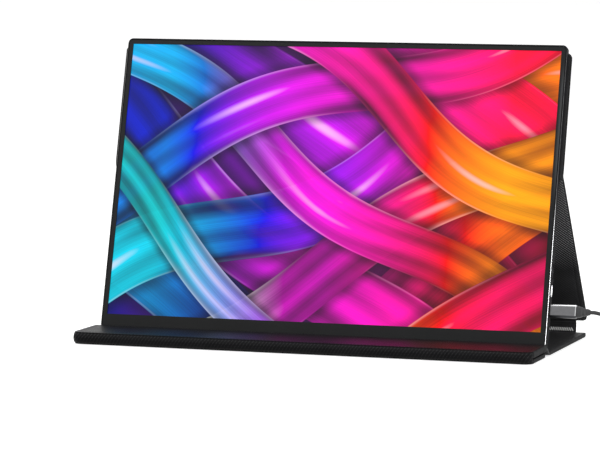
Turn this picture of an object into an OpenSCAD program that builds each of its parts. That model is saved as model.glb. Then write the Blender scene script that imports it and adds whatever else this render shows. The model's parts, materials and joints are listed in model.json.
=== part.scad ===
// Portable monitor reclined on its folding cover. Millimetres, +X right, +Y back, +Z up,
// origin under the middle of the object on the surface that it stands on.

/* [Cover] */
// How far the cover stands out beyond each side of the monitor
cover_side = 2.5; // [1.5:0.1:9]
// Thickness of one board section of the cover
panel_t = 3.6; // [3.2:0.1:4.2]
// Thickness of the tuck flap that lies folded under the front section
flap_t = 3.4; // [3:0.1:4]
// Depth of the rear base section, from the step to the spine
rear_base_d = 128; // [115:1:150]
// Depth of the raised front base section
front_base_d = 50; // [46:1:70]
// How much shorter the tuck flap is than the section it lies under
flap_short = 4; // [2:0.5:14]
// How far below the monitor's top the upper panel ends
upper_below = 5; // [4:0.5:20]
// Lean of the spine at rest, in degrees from the table; the leg's length closes the triangle
spine_angle = 82; // [60:1:86]
// Width of the spine's board, between its two folds
spine_l = 7; // [6:0.5:11]
// How much the spine is set in from each side of the cover
spine_inset = 9; // [4:0.5:14]
// Radius of the cover's corners in plan
cover_corner_r = 4; // [3:0.5:8]
// Radius of the front section's and the tuck flap's front corners in plan
front_corner_r = 9; // [4:0.5:12]
// Radius that the leather takes over the front fold
nose_r = 2.9; // [2:0.1:3]
// Thickness of the outer leather
leather_t = 0.9; // [0.7:0.1:1.1]
// Thickness of the lining
lining_t = 0.7; // [0.5:0.1:0.9]
// Width of the turned leather hem round each board
hem_w = 4; // [3:0.5:6]

/* [Folds] */
// Distance from a board's end to the fold line beside it
fold_gap = 1.5; // [1.4:0.1:2]
// Radius of the rolled leather that runs along a fold line
fold_r = 1.2; // [1:0.05:1.3]
// Length of the leather strip of the step, from fold line to fold line
step_l = 5.5; // [5:0.1:7]
// Thickness of the leather strip of the step
step_t = 1.6; // [1.2:0.1:1.8]
// Distance from the step's fold lines to the boards beside them
step_gap = 1.1; // [1.1:0.1:1.5]
// Air between the tuck flap and the section above it
flap_air = 0.6; // [0.4:0.1:0.8]

/* [Monitor] */
// Width of the monitor's border beside the lit area
side_border = 4.65; // [3.6:0.05:8]
// Width of the lit area, of a 16-inch panel
active_w = 344.7; // [290:0.1:380]
// Height of the lit area, of a 16-inch panel
active_h = 215.4; // [200:0.1:240]
// Height of the lower border, from the body's edge to the lit area
chin_h = 12; // [10.5:0.5:14]
// Height of the upper border
brow_h = 4.6; // [4:0.1:6]
// Thickness of the monitor's thin upper part
slim_t = 4.5; // [4.5:0.1:5]
// Thickness of the lower housing that holds the electronics
housing_t = 9.5; // [9.4:0.1:10]
// Height of the lower housing, to the foot of its slope
housing_h = 76; // [75:1:80]
// Height of the slope from the housing to the thin part
housing_slope = 8; // [4:1:10]
// Backward lean of the screen, in degrees from upright
lean = 15.4; // [14:0.2:18]
// Distance from the monitor's foot up to the cover's upper fold
upper_fold_h = 131.5; // [128:0.5:133]
// Radius of the monitor's corners seen from the front
mon_corner_r = 4; // [3:0.5:6]
// Width of the bare metal chamfer round the front edge
chamfer = 0.9; // [0.5:0.1:1]
// Wall of the metal shell at its sides
side_wall = 1.3; // [1.1:0.1:1.4]
// Wall of the metal shell at the back
back_wall = 0.8; // [0.7:0.1:0.8]
// Radius of the shell's lower back edge, on which it rests
foot_r = 1.5; // [1:0.1:2]

/* [Display] */
// Thickness of the front border piece
border_t = 0.8; // [0.6:0.1:0.8]
// Set-back of the border behind the shell's front edge
border_set = 0.2; // [0.1:0.05:0.2]
// Thickness of the glass cell
cell_t = 1; // [0.8:0.1:1]
// Margin of the glass cell round the lit area
cell_margin = 2; // [1:0.5:2]
// Thickness of the light guide
guide_t = 0.8; // [0.6:0.1:0.8]
// Thickness of the steel plate behind the light guide
plate_t = 0.4; // [0.3:0.1:0.4]

/* [Ports and buttons] */
// Height of the lower data port's middle above the monitor's foot
port_lower_h = 29.5; // [27:0.5:31]
// Height of the upper data port's middle
port_upper_h = 44.5; // [43:0.5:46]
// Height of the video port's middle
video_h = 59.5; // [58.5:0.5:61]
// Height of the headphone jack's middle, on the left side
jack_h = 18; // [14:0.5:20]
// Bore of the headphone jack
jack_bore = 3.6; // [3.5:0.05:3.7]
// Height of the rocker's middle, on the left side
rocker_h = 42; // [40:0.5:44]
// Length of the rocker
rocker_l = 20; // [16:1:22]
// Height of the power button's middle, on the left side
power_h = 64; // [62:0.5:66]
// Length of the power button
power_l = 9; // [7:0.5:10]
// Depth, front to back, of both side keys
key_d = 2.4; // [2:0.1:2.6]
// How far the side keys stand out of the shell
key_out = 0.6; // [0.5:0.1:0.8]
// Travel of the power button
key_travel = 0.35; // [0.3:0.05:0.4]
// Radius of the rocker's pivot pin
pin_r = 0.5; // [0.4:0.05:0.5]
// Running clearance of a key in its slot and on its pin
key_clear = 0.2; // [0.15:0.05:0.25]
// Radial clearance of the rocker on its pin
pin_clear = 0.05; // [0.03:0.01:0.08]

/* [Cable] */
// Diameter of the cable
cord_d = 3; // [2.8:0.1:3.1]
// Length of the plug's metal boot
boot_l = 21; // [17:1:22]
// Width of the plug's metal boot
boot_w = 11; // [10:0.1:12]
// Thickness of the plug's metal boot
boot_t = 6.6; // [6:0.1:6.8]
// Length of the tapered strain relief
relief_l = 10; // [8:1:12]
// Turns in the coil
coil_turns = 7; // [6:1:7]
// Radius of the coil's outermost turn
coil_r = 27; // [26:1:30]
// Radial step from one turn to the next
coil_step = 3.6; // [3.6:0.1:4.3]
// Rise from the lower layer of turns to the upper one
coil_rise = 3.6; // [3.6:0.1:4.4]

/* [Hidden] */
$fn = 48;

over = 1;
touch = 0.05;
mon_h = chin_h + active_h + brow_h;
mon_w = active_w + 2 * side_border;
cover_w = mon_w + 2 * cover_side;
flap_d = front_base_d - flap_short;
upper_panel_h = mon_h - upper_below - upper_fold_h - fold_gap;

// Side plane: points are [y, z], counted from the monitor's lower front edge before centring.
function along(angle) = [cos(angle), sin(angle)];
foot_z = panel_t + touch + foot_r - foot_r * cos(lean) + (housing_t - foot_r) * sin(lean);
function mon_at(depth, up) = [0, foot_z] + up * along(90 - lean) + depth * along(-lean);

// The step between the rear base section and the raised front section
ledge_gap = 3.2;
rise = flap_t + flap_air;
step_run = sqrt(step_l * step_l - rise * rise);
step_angle = atan2(rise, -step_run);
step_top = [-ledge_gap + step_gap, rise + panel_t / 2];
step_low = step_top + [step_run, -rise];
base_y0 = step_low[0] + step_gap;
front_y0 = -ledge_gap - front_base_d;
front_pivot = [front_y0 - fold_gap, flap_t + flap_air / 2];

// The spine and the leg close the triangle between the base and the monitor's back
spine_span = spine_l + 2 * fold_gap;
base_pivot = [base_y0 + rear_base_d + fold_gap, panel_t / 2];
upper_pivot = mon_at(slim_t + panel_t / 2, upper_fold_h);
leg_pivot = base_pivot + spine_span * along(spine_angle);
leg_l = norm(upper_pivot - leg_pivot) - 2 * fold_gap;
leg_angle = atan2(upper_pivot[1] - leg_pivot[1], upper_pivot[0] - leg_pivot[0]);

// The object's middle, front to back, is the frame's y = 0
front_end = front_pivot[0] - fold_r;
back_end = leg_pivot[0] + max(fold_r, panel_t / 2 * sin(leg_angle) + fold_gap * cos(leg_angle));
mid_y = (front_end + back_end) / 2;

spine_w = cover_w - 2 * spine_inset;
board_t = panel_t - leather_t - lining_t;
port_depth = 6.75;
pcb_t = 1;
pcb_y = 4.15;
housing_in = housing_t - back_wall;
side_x = mon_w / 2;
wall_in_x = side_x - side_wall;
cord_r = cord_d / 2;
boot_x = side_x + 0.3;
cord_x = boot_x + boot_l + relief_l;

echo(joint_spine=[base_pivot[0] - mid_y, base_pivot[1]], spine_angle=spine_angle, leg_length=leg_l);
echo(joint_leg=[leg_pivot[0] - mid_y, leg_pivot[1]], leg_angle=leg_angle);
echo(joint_upper=[upper_pivot[0] - mid_y, upper_pivot[1]], screen_angle=90 - lean);
echo(joint_step=[step_low[0] - mid_y, step_low[1]], joint_front=[step_top[0] - mid_y, step_top[1]]);
echo(joint_flap=[front_pivot[0] - mid_y, front_pivot[1]], step_angle=step_angle);
echo(monitor_foot=[-mid_y, foot_z], depth=back_end - front_end);

module at_side(point, angle = 0) {
    translate([0, point[0] - mid_y, point[1]]) rotate([angle, 0, 0]) children();
}

module on_monitor() { at_side([0, foot_z], -lean) children(); }

module rect_round(w, h, r) {
    hull() for (sx = [-1, 1], sy = [-1, 1])
        translate([sx * (w / 2 - r), sy * (h / 2 - r)]) circle(r, $fn = 32);
}

// A true rounded rectangle without a hull: two bars and four discs
module rect_true(w, h, r) {
    square([w - 2 * r, h], center = true);
    square([w, h - 2 * r], center = true);
    for (sx = [-1, 1], sy = [-1, 1]) translate([sx * (w / 2 - r), sy * (h / 2 - r)]) circle(r);
}

module slot_2d(l, w) {
    square([l - w, w], center = true);
    for (s = [-1, 1]) translate([s * (l - w) / 2, 0]) circle(w / 2);
}

// Extrusions: a [y, z] profile along X, and an [x, z] outline from depth y0 to y1
module along_x(len) { rotate([90, 0, 90]) linear_extrude(len, center = true) children(); }
module along_y(y0, y1) { translate([0, y1, 0]) rotate([90, 0, 0]) linear_extrude(y1 - y0) children(); }

// One cover section lies along +Y from 0 to len, outer leather down and lining up.
// nose rounds the lining side over the front fold: 1 at the near end, -1 at the far end, 0 nowhere.
// ends lists the ends with rounded corners: 0 for the near one, 1 for the far one.
module corner_notch(r) {
    difference() {
        translate([-r, -over]) square([r + over, r + over]);
        translate([-r, r]) circle(r);
    }
}

module section_outline(w, len, inset, ends, r) {
    difference() {
        translate([-w / 2 + inset, inset]) square([w - 2 * inset, len - 2 * inset]);
        for (side = [0, 1], end = ends)
            translate([(1 - 2 * side) * (w / 2 - inset), end * len + (1 - 2 * end) * inset])
                mirror([side, 0]) mirror([0, end]) corner_notch(max(r - inset, 0.8));
    }
}

module nose_profile(len, t) {
    translate([0, -t / 2]) square([len, t - nose_r]);
    translate([nose_r, -t / 2]) square([len - nose_r, t]);
    translate([nose_r, t / 2 - nose_r]) circle(nose_r);
}

module section_leather(w, len, t, ends, r = cover_corner_r, nose = 0) {
    difference() {
        intersection() {
            translate([0, 0, -t / 2]) linear_extrude(t) section_outline(w, len, 0, ends, r);
            if (nose == 0) translate([0, len / 2, 0]) cube([w, len, t], center = true);
            if (nose == 1) along_x(w) nose_profile(len, t);
            if (nose == -1) along_x(w) translate([len, 0]) mirror([1, 0]) nose_profile(len, t);
        }
        translate([0, 0, -t / 2 + leather_t]) linear_extrude(t) section_outline(w, len, hem_w, ends, r);
    }
}

module section_board(w, len, t, ends, r = cover_corner_r) {
    translate([0, 0, -t / 2 + leather_t])
        linear_extrude(t - leather_t - lining_t) section_outline(w, len, hem_w, ends, r);
}

module section_lining(w, len, t, ends, r = cover_corner_r) {
    translate([0, 0, t / 2 - lining_t]) linear_extrude(lining_t) section_outline(w, len, hem_w, ends, r);
}

// Block magnets lie in pockets of the board, in a row across the section
magnet = [24, 8, 1.4];
magnet_margin = 45;
module magnet_row(w, y, t, count, grow = 0) {
    run = w - 2 * magnet_margin;
    for (i = [0:count - 1])
        translate([-run / 2 + i * run / (count - 1), y, -t / 2 + leather_t + magnet[2] / 2 + touch])
            cube(magnet + grow * [1, 1, 1], center = true);
}

module fold_roll(w) { rotate([0, 90, 0]) cylinder(h = w, r = fold_r, center = true); }

// Places of the cover's sections
module at_base() { at_side([base_y0, panel_t / 2]) children(); }
module at_front() { at_side([front_y0, rise + panel_t / 2]) children(); }
module at_flap() { at_side([front_y0 + flap_d, flap_t / 2], 180) children(); }
module at_spine() { at_side(base_pivot + fold_gap * along(spine_angle), spine_angle) children(); }
module at_leg() { at_side(leg_pivot + fold_gap * along(leg_angle), leg_angle) children(); }
module at_upper() { at_side(upper_pivot + fold_gap * along(90 - lean), 90 - lean) children(); }

leather_col = "#1b1b1d";
board_col = "#8a7a5e";
lining_col = "#262629";

module base_leather() { color(leather_col) at_base() section_leather(cover_w, rear_base_d, panel_t, [1]); }
module base_board() { color(board_col) at_base() section_board(cover_w, rear_base_d, panel_t, [1]); }
module base_lining() { color(lining_col) at_base() section_lining(cover_w, rear_base_d, panel_t, [1]); }

module step_fold() {
    color(leather_col) at_side(step_low, step_angle) along_x(cover_w - 6) {
        translate([0, -step_t / 2]) square([step_l, step_t]);
        for (y = [0, step_l]) translate([y, 0]) circle(step_t / 2);
    }
}

front_magnet_y = 20;
module front_leather() {
    color(leather_col) at_front() section_leather(cover_w, front_base_d, panel_t, [0], front_corner_r, 1);
}
module front_board() {
    color(board_col) at_front() difference() {
        section_board(cover_w, front_base_d, panel_t, [0], front_corner_r);
        magnet_row(cover_w, front_magnet_y, panel_t, 4, 2 * touch);
    }
}
module front_lining() {
    color(lining_col) at_front() section_lining(cover_w, front_base_d, panel_t, [0], front_corner_r);
}
module front_magnets() { color("silver") at_front() magnet_row(cover_w, front_magnet_y, panel_t, 4); }
module front_fold() { color(leather_col) at_side(front_pivot) fold_roll(cover_w - 2 * front_corner_r); }

module flap_leather() {
    color(leather_col) at_flap() section_leather(cover_w, flap_d, flap_t, [0, 1], front_corner_r, -1);
}
module flap_board() {
    color(board_col) at_flap() difference() {
        section_board(cover_w, flap_d, flap_t, [0, 1], front_corner_r);
        magnet_row(cover_w, flap_d - front_magnet_y, flap_t, 4, 2 * touch);
    }
}
module flap_lining() {
    color(lining_col) at_flap() section_lining(cover_w, flap_d, flap_t, [0, 1], front_corner_r);
}
module flap_magnets() { color("silver") at_flap() magnet_row(cover_w, flap_d - front_magnet_y, flap_t, 4); }

module base_fold() { color(leather_col) at_side(base_pivot) fold_roll(spine_w); }
spine_t = panel_t - 0.6;
spine_hem = 1.5;
module spine_slab(low, high) {
    translate([-spine_w / 2 + hem_w, spine_hem, low])
        cube([spine_w - 2 * hem_w, spine_l - 2 * spine_hem, high - low]);
}
module spine_leather() {
    color(leather_col) at_spine() difference() {
        translate([0, spine_l / 2, 0]) cube([spine_w, spine_l, spine_t], center = true);
        spine_slab(-spine_t / 2 + leather_t, spine_t);
    }
}
module spine_board() {
    color(board_col) at_spine() spine_slab(-spine_t / 2 + leather_t, spine_t / 2 - lining_t);
}
module spine_lining() { color(lining_col) at_spine() spine_slab(spine_t / 2 - lining_t, spine_t / 2); }
module leg_fold() { color(leather_col) at_side(leg_pivot) fold_roll(spine_w); }

module leg_leather() { color(leather_col) at_leg() section_leather(cover_w, leg_l, panel_t, [0]); }
module leg_board() { color(board_col) at_leg() section_board(cover_w, leg_l, panel_t, [0]); }
module leg_lining() { color(lining_col) at_leg() section_lining(cover_w, leg_l, panel_t, [0]); }
module upper_fold() { color(leather_col) at_side(upper_pivot) fold_roll(cover_w - 8); }

upper_magnet_rows = [18, upper_panel_h - 18];
module upper_leather() {
    color(leather_col) at_upper() section_leather(cover_w, upper_panel_h, panel_t, [1]);
}
module upper_board() {
    color(board_col) at_upper() difference() {
        section_board(cover_w, upper_panel_h, panel_t, [1]);
        for (y = upper_magnet_rows) magnet_row(cover_w, y, panel_t, 4, 2 * touch);
    }
}
module upper_lining() { color(lining_col) at_upper() section_lining(cover_w, upper_panel_h, panel_t, [1]); }
module upper_magnets() {
    color("silver") at_upper() for (y = upper_magnet_rows) magnet_row(cover_w, y, panel_t, 4);
}

// The monitor is drawn upright, its front at y = 0 and its foot at z = 0
module front_outline(inset) {
    translate([0, mon_h / 2])
        rect_round(mon_w - 2 * inset, mon_h - 2 * inset, max(mon_corner_r - inset, 0.5));
}

module side_profile() {
    slope_top = housing_h + housing_slope;
    back_r = 1.2;
    difference() {
        polygon([[-over, 0], [housing_t, 0], [housing_t, housing_h], [slim_t, slope_top],
            [slim_t, mon_h], [-over, mon_h]]);
        translate([housing_t - foot_r, -over]) square([foot_r + over, foot_r + over]);
        translate([slim_t - back_r, mon_h - back_r]) square(back_r + over);
    }
    translate([housing_t - foot_r, foot_r]) circle(foot_r);
    translate([slim_t - back_r, mon_h - back_r]) circle(back_r);
}

module shell_block() {
    intersection() {
        hull() {
            along_y(0, 0.01) front_outline(chamfer);
            along_y(chamfer, housing_t + over) front_outline(0);
        }
        along_x(mon_w + 2 * over) side_profile();
    }
}

// The data plug's metal tip, the port round it and the slot in the shell follow one another
plug_tip = [8.34, 2.56];
plug_wall = 0.32;
port_clear = 0.08;
port_wall = 0.22;
slot_clear = 0.2;
port_in = plug_tip + 2 * port_clear * [1, 1];
port_out = port_in + 2 * port_wall * [1, 1];
port_slot = port_out + 2 * slot_clear * [1, 1];
video_in = [10.6, 2.6];
video_wall = 0.3;
video_out = video_in + 2 * video_wall * [1, 1];
video_slot = video_out + 2 * slot_clear * [1, 1];

// Openings in the shell's sides, [x, z] places turned to face +X or -X
module side_slot(side, up, depth, l, d) {
    translate([side * side_x, depth, up]) rotate([0, 90, 0])
        linear_extrude(4 * side_wall, center = true) slot_2d(l, d);
}

// The main board stands beside the right wall; its parts are placed from its lower left corner
pcb_side = 0.2;
pcb_w = 91.5;
pcb_l = 62;
pcb_up = 8;
pcb_x = wall_in_x - pcb_side - pcb_w;
boss_r = 2.2;
screw_hole_r = 0.75;
screw_hole_l = 3.6;
screw_in = [[8, 4], [8, 58], [74, 6], [66, 58]];
screw_spots = [for (p = screw_in) [pcb_x + p[0], pcb_up + p[1]]];

speaker = [40, 3.6, 18];
speaker_up = 15;
speaker_cone_r = 7;
speaker_from_wall = 21;
speaker_from_pcb = 4;
speaker_x = [-wall_in_x + speaker_from_wall + speaker[0] / 2, pcb_x - speaker_from_pcb - speaker[0] / 2];
grille_pitch = 3;
grille_slot = [12, 1.2];
module speaker_grille(x) {
    for (i = [-4:4]) translate([x + i * grille_pitch, housing_t, speaker_up + speaker[2] / 2])
        rotate([90, 0, 0]) linear_extrude(6 * back_wall, center = true) rotate(90)
            slot_2d(grille_slot[0], grille_slot[1]);
}

module rear_shell() {
    color("#2b2d30") on_monitor() difference() {
        union() {
            difference() {
                shell_block();
                along_y(-over, slim_t - back_wall) translate([0, mon_h / 2])
                    rect_true(mon_w - 2 * side_wall, mon_h - 2 * side_wall, mon_corner_r - side_wall);
                translate([-wall_in_x, over, side_wall])
                    cube([2 * wall_in_x, housing_in - over, housing_h - side_wall - 2]);
            }
            for (p = screw_spots) translate([p[0], pcb_y + pcb_t, p[1]]) rotate([-90, 0, 0])
                cylinder(r = boss_r, h = housing_in - pcb_y - pcb_t + back_wall / 2);
        }
        for (p = screw_spots) translate([p[0], pcb_y + pcb_t - over, p[1]]) rotate([-90, 0, 0])
            cylinder(r = screw_hole_r, h = screw_hole_l + over);
        for (up = [port_lower_h, port_upper_h])
            side_slot(1, up, port_depth, port_slot[0], port_slot[1]);
        translate([side_x, port_depth, video_h])
            cube([4 * side_wall, video_slot[1], video_slot[0]], center = true);
        side_slot(-1, power_h, port_depth, power_l + 2 * key_clear, key_d + 2 * key_clear);
        side_slot(-1, rocker_h, port_depth, rocker_l + 2 * key_clear, key_d + 2 * key_clear);
        translate([-side_x, port_depth - 0.45, jack_h]) rotate([0, 90, 0])
            cylinder(r = jack_bore / 2 + 0.4, h = 4 * side_wall, center = true);
        for (x = speaker_x) speaker_grille(x);
    }
}

module screen_border() {
    color("#17181a") on_monitor() difference() {
        along_y(border_set, border_set + border_t) translate([0, mon_h / 2])
            rect_true(mon_w - 2 * side_wall - 0.2, mon_h - 2 * side_wall - 0.2, mon_corner_r - side_wall);
        translate([-active_w / 2, -over, chin_h]) cube([active_w, 2 * over + 2, active_h]);
    }
}

cell_y = border_set + border_t + touch;
module display_sheet(y, t, shrink) {
    translate([-active_w / 2 - cell_margin + shrink, y, chin_h - cell_margin + shrink])
        cube([active_w + 2 * (cell_margin - shrink), t, active_h + 2 * (cell_margin - shrink)]);
}
module display_cell() { color("#3b4fd0") on_monitor() display_sheet(cell_y, cell_t, 0); }
module light_guide() {
    color("white") on_monitor() display_sheet(cell_y + cell_t + touch, guide_t, 0.5);
}
plate_y = cell_y + cell_t + guide_t + 2 * touch;
module steel_plate() { color("#9aa0a6") on_monitor() display_sheet(plate_y, plate_t, 0.5); }

// A flat ribbon folds from the glass cell's lower edge round the plate to the main board
ribbon_in = 36;
ribbon_x = pcb_x + ribbon_in;
ribbon_w = 22;
ribbon_l = 22;
ribbon_t = 0.2;
module display_ribbon() {
    low = chin_h - cell_margin - 0.9;
    color("#b0702c") on_monitor() translate([ribbon_x, 0, 0]) along_x(ribbon_w) {
        translate([cell_y + 0.2, low]) square([ribbon_t, 0.85]);
        translate([cell_y + 0.2, low]) square([pcb_y - cell_y - 0.5, ribbon_t]);
        translate([pcb_y - 0.3, low]) square([ribbon_t, ribbon_l]);
    }
}

// Chips are [across, up, width, height] from the board's lower left corner; the socket takes the ribbon
chips = [[40, 32, 14, 14], [22, 20, 9, 9], [56, 12, 6, 8], [20, 46, 10, 6], [44, 52, 7, 5]];
chip_t = 1.3;
chip_sink = 0.1;
socket = [ribbon_w + 2, 1.6, 5];
socket_up = 12;
module main_board() {
    chip_y = pcb_y + pcb_t - chip_sink;
    color("#1d5c38") on_monitor() {
        difference() {
            translate([pcb_x, pcb_y, pcb_up]) cube([pcb_w, pcb_t, pcb_l]);
            for (p = screw_spots) translate([p[0], pcb_y - over, p[1]]) rotate([-90, 0, 0])
                cylinder(r = 1, h = pcb_t + 2 * over);
        }
        for (c = chips) translate([pcb_x + c[0] - c[2] / 2, chip_y, pcb_up + c[1] - c[3] / 2])
            cube([c[2], chip_t, c[3]]);
        translate([ribbon_x - socket[0] / 2, chip_y, socket_up]) cube(socket);
    }
}

module board_screws() {
    head_t = 0.4;
    color("silver") on_monitor() for (p = screw_spots) translate([p[0], pcb_y, p[1]]) rotate([-90, 0, 0]) {
        translate([0, 0, -head_t]) cylinder(r = 1.7, h = head_t);
        cylinder(r = screw_hole_r - touch, h = pcb_t + screw_hole_l - 0.6);
    }
}

// Data port: a metal shell round a contact tongue, open to +X
port_l = 7.4;
module data_port(up) {
    translate([wall_in_x - port_l + 0.8, port_depth, up]) rotate([0, 90, 0]) {
        difference() {
            linear_extrude(port_l) slot_2d(port_out[0], port_out[1]);
            translate([0, 0, 0.6]) linear_extrude(port_l) slot_2d(port_in[0], port_in[1]);
        }
        translate([0, 0, 0.3]) linear_extrude(5) square([6.6, 0.6], center = true);
    }
}
module port_lower() { color("silver") on_monitor() data_port(port_lower_h); }
module port_upper() { color("silver") on_monitor() data_port(port_upper_h); }

module video_port() {
    color("silver") on_monitor() translate([wall_in_x - port_l + 0.8, port_depth, video_h])
        rotate([0, 90, 0]) {
            difference() {
                linear_extrude(port_l) square(video_out, center = true);
                translate([0, 0, 0.6]) linear_extrude(port_l) square(video_in, center = true);
            }
            translate([0, 0, 0.3]) linear_extrude(5.4) square([8.4, 0.7], center = true);
        }
}

jack_l = 12;
jack_y = port_depth - 0.45;
jack_body = [jack_l + 1.5, 4.7, 6.4];
module jack() {
    color("#222222") on_monitor() difference() {
        translate([-wall_in_x + 0.1, jack_y - jack_body[1] / 2, jack_h - jack_body[2] / 2]) cube(jack_body);
        translate([-wall_in_x - over, jack_y, jack_h]) rotate([0, 90, 0])
            cylinder(r = jack_bore / 2, h = jack_l + over + 0.1);
    }
}

// Each speaker is a flat box with its cone toward the grille
module speakers() {
    color("#2a2a2a") on_monitor() for (x = speaker_x) {
        translate([x - speaker[0] / 2, plate_y + plate_t + 0.1, speaker_up]) cube(speaker);
        translate([x, plate_y + plate_t + speaker[1], speaker_up + speaker[2] / 2]) rotate([-90, 0, 0])
            cylinder(r = speaker_cone_r, h = 0.6);
    }
}

// The button board carries one switch behind the power button and two behind the rocker
key_back = 1.7;
switch_x = -wall_in_x + key_back + key_travel + 0.05;
button_margin = 4;
button_low = rocker_h - rocker_l / 2 - button_margin;
module button_board() {
    color("#1d5c38") on_monitor() {
        translate([switch_x + 1.2, port_depth - 2.2, button_low])
            cube([1, 4.1, power_h + 2 * button_margin - button_low]);
        for (up = [rocker_h - rocker_nub, rocker_h + rocker_nub, power_h])
            translate([switch_x, port_depth - 1.5, up - 1.5]) cube([1.25, 3, 3]);
    }
}

// Keys: a face in the shell's slot, with a wider flange or a pivot boss behind it
module power_button() {
    color("#3a3c40") on_monitor() translate([-side_x - key_out, port_depth, power_h])
        rotate([0, 90, 0]) {
            linear_extrude(side_wall + key_out + 0.2) slot_2d(power_l, key_d);
            translate([0, 0, side_wall + key_out + 0.05])
                linear_extrude(key_back - 0.05) slot_2d(power_l + 1.6, key_d + 1.4);
        }
}

rocker_pivot_x = -wall_in_x + 0.9;
rocker_nub = rocker_l / 2 - 2.5;
module rocker() {
    color("#3a3c40") on_monitor() difference() {
        union() {
            translate([-side_x - key_out, port_depth, rocker_h]) rotate([0, 90, 0])
                linear_extrude(side_wall + key_out + 0.3) slot_2d(rocker_l, key_d);
            translate([rocker_pivot_x, port_depth, rocker_h]) rotate([90, 0, 0])
                cylinder(r = 1.2, h = key_d, center = true);
            for (s = [-1, 1]) translate([-wall_in_x, port_depth, rocker_h + s * rocker_nub])
                rotate([0, 90, 0]) cylinder(r = 0.8, h = key_back);
        }
        translate([rocker_pivot_x, port_depth, rocker_h]) rotate([90, 0, 0])
            cylinder(r = pin_r + pin_clear, h = key_d + 2 * over, center = true);
    }
}
module rocker_pin() {
    pin_y0 = plate_y + plate_t + 0.1;
    color("silver") on_monitor() translate([rocker_pivot_x, pin_y0, rocker_h]) rotate([-90, 0, 0])
        cylinder(r = pin_r, h = housing_in - pin_y0);
}

// Plug at the lower data port, on the port's own axis
module on_port() {
    on_monitor() translate([0, port_depth, port_lower_h]) rotate([0, 90, 0]) children();
}

module tongue_form(l) {
    difference() {
        linear_extrude(l) slot_2d(plug_tip[0], plug_tip[1]);
        translate([0, 0, -over]) linear_extrude(l - 0.8 + over)
            slot_2d(plug_tip[0] - 2 * plug_wall, plug_tip[1] - 2 * plug_wall);
    }
}
module boot_form() { linear_extrude(boot_l) rect_true(boot_w, boot_t, 2.2); }
module relief_form() {
    hull() {
        linear_extrude(0.5) rect_round(boot_w - 1.4, boot_t - 0.8, 2);
        translate([0, 0, relief_l - 2]) linear_extrude(2) circle(cord_r + 0.7, $fn = 32);
    }
}

tongue_l = 6.2;
module plug_tongue() {
    color("silver") on_port() translate([0, 0, boot_x - tongue_l]) tongue_form(tongue_l);
}
module plug_boot() { color("#4a4b4e") on_port() translate([0, 0, boot_x]) boot_form(); }
module plug_relief() { color("#1c1c1e") on_port() translate([0, 0, boot_x + boot_l]) relief_form(); }

// Cable route, chosen by hand: off the relief, down to the table, into the coil
port_spot = mon_at(port_depth, port_lower_h) - [mid_y, 0];
lay_z = cord_r + 0.15;
coil_mid = [290, -50];
coil_start = coil_mid + [-cord_d, coil_r];
coil_end = coil_mid + [cord_d, coil_r];
lead_points = [
    [cord_x, port_spot[0], port_spot[1]], [cord_x + cord_d, port_spot[0], port_spot[1]],
    [219, -26, 30.5], [230, -27, 24], [242, -28, 15], [254, -27.5, 7.5], [266, -25.5, 3],
    [276, -23.5, lay_z], [coil_start[0] - cord_d, coil_start[1], lay_z],
    [coil_start[0], coil_start[1], lay_z]
];
tail_points = [
    [coil_end[0], coil_end[1], lay_z + coil_rise],
    [coil_end[0] + cord_d, coil_end[1], lay_z + coil_rise], [306, -22.5, 5.2],
    [316, -20, 4], [328, -15, 3.4], [336, -8, 3.4], [340, 0, 3.4], [341, 8, 3.4], [341, 12, 3.4]
];

// Smooth run through a route's points, with straight ends
function spot(p, i) = p[max(0, min(len(p) - 1, i))];
function curve(a, b, c, d, t) = 0.5 * ((2 * b) + (c - a) * t + (2 * a - 5 * b + 4 * c - d) * t * t
    + (3 * b - a - 3 * c + d) * t * t * t);
function smooth(p, n) = [
    for (i = [0:len(p) - 2], k = [0:n - 1])
        (i == 0 || i == len(p) - 2) ? p[i] + (p[i + 1] - p[i]) * k / n
            : curve(spot(p, i - 1), p[i], p[i + 1], spot(p, i + 2), k / n),
    p[len(p) - 1]
];
function unit(v) = v / norm(v);
function heading(p, i) = i == 0 ? unit(p[1] - p[0])
    : i == len(p) - 1 ? unit(p[i] - p[i - 1]) : unit(unit(p[i] - p[i - 1]) + unit(p[i + 1] - p[i]));
function ring(p, t, r, sides) = let(side = unit(cross(t, [0, 0, 1])), up = cross(side, t))
    [for (k = [0:sides - 1]) p + r * (cos(360 * k / sides) * side + sin(360 * k / sides) * up)];

module tube(p, r, sides) {
    n = len(p);
    points = [for (i = [0:n - 1]) each ring(p[i], heading(p, i), r, sides)];
    walls = [for (i = [0:n - 2], k = [0:sides - 1]) let(
        a = i * sides + k, b = i * sides + (k + 1) % sides, c = a + sides, d = b + sides)
        each [[a, b, d], [a, d, c]]];
    caps = [for (k = [1:sides - 2]) each [[0, k + 1, k],
        [(n - 1) * sides, (n - 1) * sides + k, (n - 1) * sides + k + 1]]];
    polyhedron(points, concat(walls, caps));
}

// The coil: turns spiral in on the table and out again one layer up
coil_rings = 24;
coil_half = coil_turns / 2;
function coil_radius(turn) = coil_r - coil_step * (coil_half - abs(turn - coil_half));
function coil_z(turn) = lay_z + coil_rise * max(0, min(1, 2 * (turn - coil_half) + 0.5));
function coil_angle(turn) = 90 - 360 * turn;
coil_body = [for (k = [0:coil_turns * coil_rings]) let(turn = k / coil_rings)
    [coil_mid[0] + coil_radius(turn) * cos(coil_angle(turn)),
     coil_mid[1] + coil_radius(turn) * sin(coil_angle(turn)), coil_z(turn)]];
coil_points = concat([coil_body[0] - [cord_d, 0, 0]], coil_body,
    [coil_body[len(coil_body) - 1] + [cord_d, 0, 0]]);

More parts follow.
